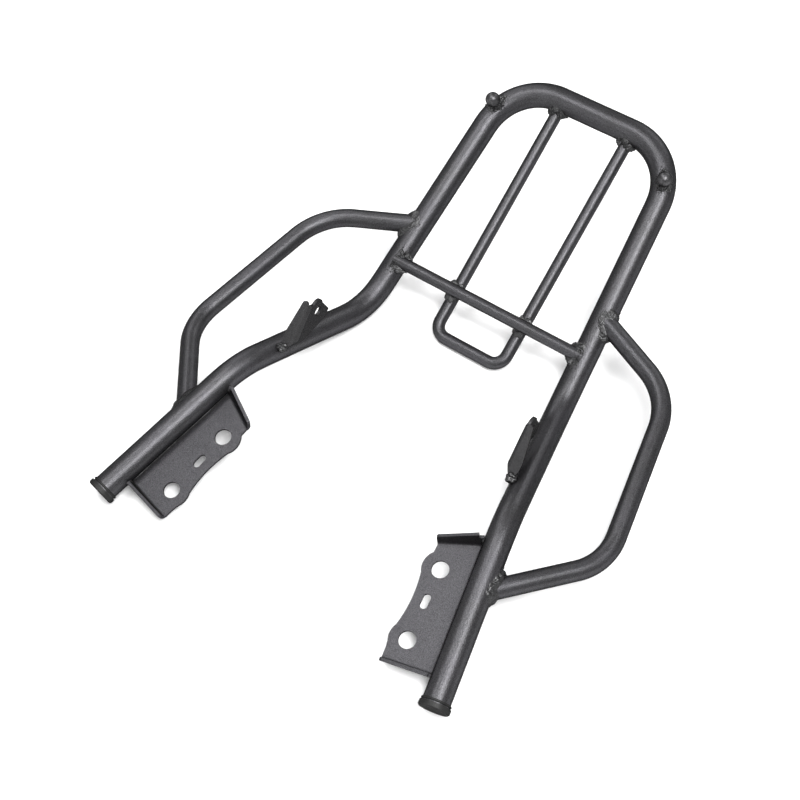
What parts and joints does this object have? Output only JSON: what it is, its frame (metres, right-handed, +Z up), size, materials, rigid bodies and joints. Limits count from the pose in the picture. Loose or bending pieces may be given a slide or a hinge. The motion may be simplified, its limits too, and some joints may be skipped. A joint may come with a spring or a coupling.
{
  "type": "motorcycle luggage rack",
  "caption": "Welded tube luggage rack for a motorcycle: sloping deck with rods and a crossbar, side grab handles, cord knobs, folded mounting plates and tabs.",
  "frame": {"origin": "middle of the rack's box at the floor it stands on", "axes": "+X to the seated rider's left, +Y to the back of the motorcycle, +Z up; the rack is a mirror image of itself across X = 0"},
  "size_m": [0.4902, 0.5839, 0.16],
  "materials": {
    "powder_coat": "satin black powder coat",
    "weld_bead": "satin black powder coat over rippled weld",
    "cap_plastic": "matte black"
  },
  "bodies": {
    "root": {"main_tube": "powder_coat", "left_handle": "powder_coat", "right_handle": "powder_coat", "crossbar": "powder_coat", "rack_loop": "powder_coat", "left_knob": "powder_coat", "right_knob": "powder_coat", "left_mount_plate": "powder_coat", "right_mount_plate": "powder_coat", "left_tab": "powder_coat", "right_tab": "powder_coat", "left_end_cap": "cap_plastic", "right_end_cap": "cap_plastic", "left_handle_back_weld": "weld_bead", "right_handle_back_weld": "weld_bead", "left_handle_front_weld": "weld_bead", "right_handle_front_weld": "weld_bead", "left_crossbar_weld": "weld_bead", "right_crossbar_weld": "weld_bead", "left_rod_weld": "weld_bead", "right_rod_weld": "weld_bead", "left_crossing_weld": "weld_bead", "right_crossing_weld": "weld_bead", "left_knob_weld": "weld_bead", "right_knob_weld": "weld_bead", "left_plate_weld": "weld_bead", "right_plate_weld": "weld_bead", "left_tab_weld": "weld_bead", "right_tab_weld": "weld_bead"}
  },
  "joints": []
}
